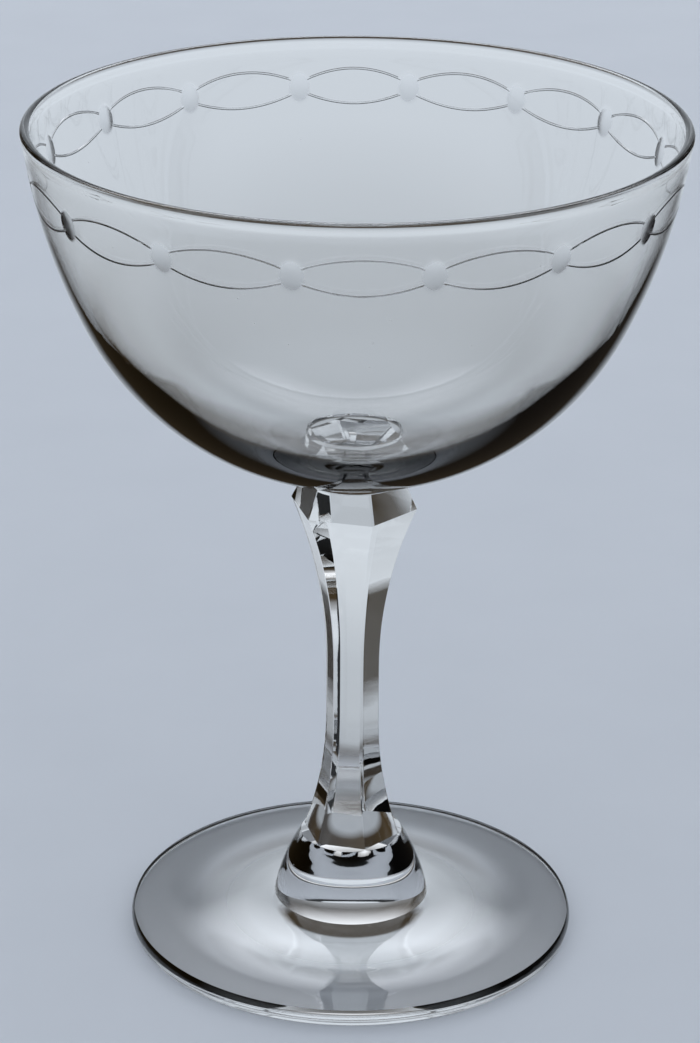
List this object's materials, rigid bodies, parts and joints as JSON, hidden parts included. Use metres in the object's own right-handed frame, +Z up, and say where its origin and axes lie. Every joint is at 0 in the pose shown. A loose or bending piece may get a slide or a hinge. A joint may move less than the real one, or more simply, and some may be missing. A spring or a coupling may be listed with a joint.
{
  "type": "coupe glass",
  "caption": "Stemmed coupe drinking glass: a wide thin blown bowl on a faceted cut stem that flares into a round pad on a flat round foot.",
  "frame": {"origin": "middle of the foot's resting face", "axes": "+Z up along the glass's own axis"},
  "size_m": [0.095, 0.095, 0.127],
  "materials": {
    "clear_glass": "clear colourless polished glass, with a fine matt engraved chain under the rim"
  },
  "bodies": {
    "root": {"bowl": "clear_glass", "stem": "clear_glass", "foot": "clear_glass"}
  },
  "joints": []
}
